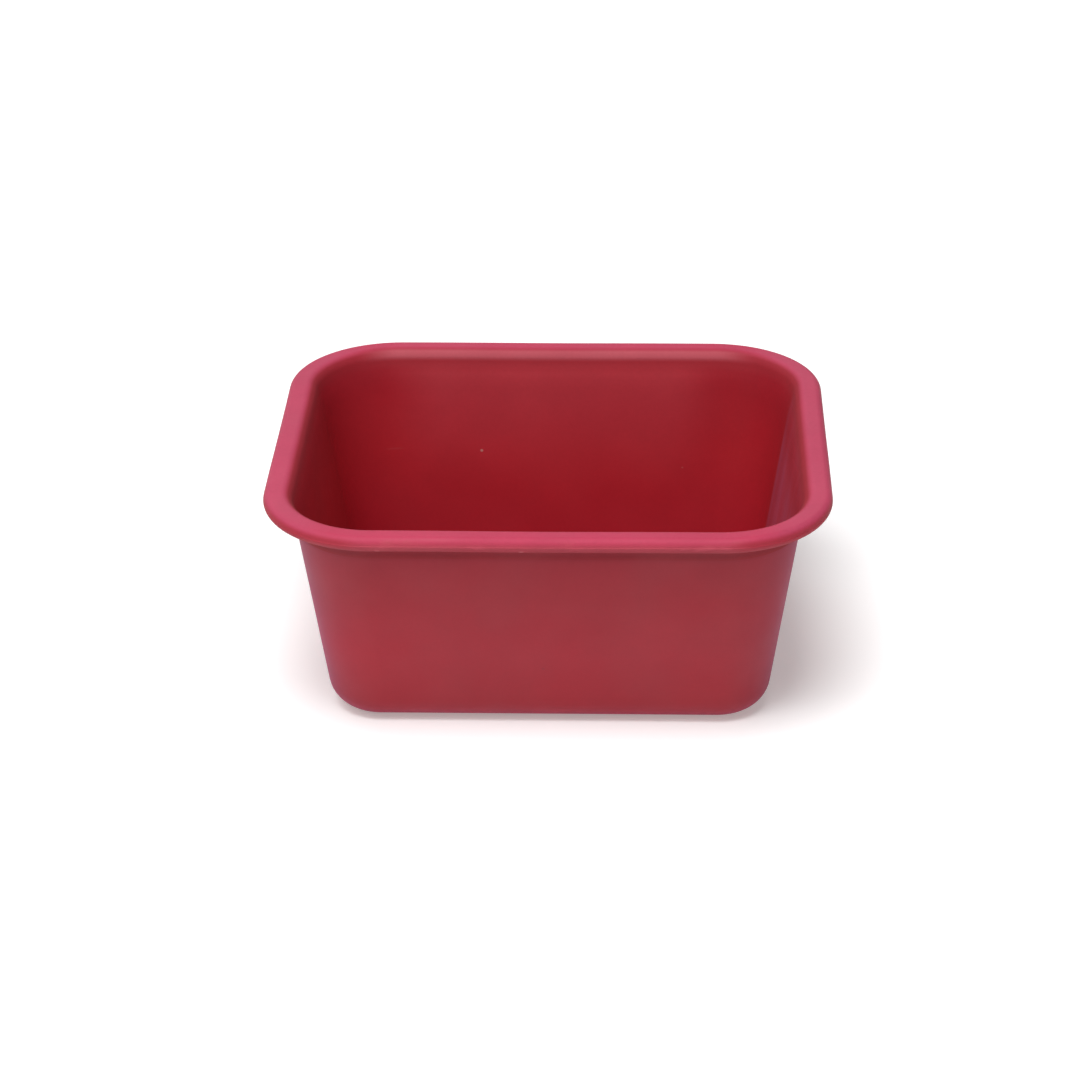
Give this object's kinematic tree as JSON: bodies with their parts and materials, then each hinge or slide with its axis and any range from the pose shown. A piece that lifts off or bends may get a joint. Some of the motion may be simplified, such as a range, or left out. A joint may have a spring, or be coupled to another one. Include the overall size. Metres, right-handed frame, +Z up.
{
  "type": "soap loaf mould",
  "caption": "Open rectangular silicone tub with sloping walls, round corners and a thick rolled rim, for casting a loaf of soap.",
  "frame": {"origin": "middle of the flat underside, where the mould stands", "axes": "+X along the longer side, +Y along the shorter side, +Z up out of the open mouth"},
  "size_m": [0.14, 0.12, 0.059],
  "materials": {
    "silicone": "satin silicone rubber, dusky pink-red, with a slightly glossier inside"
  },
  "bodies": {
    "root": {"mould_body": "silicone"}
  },
  "joints": []
}
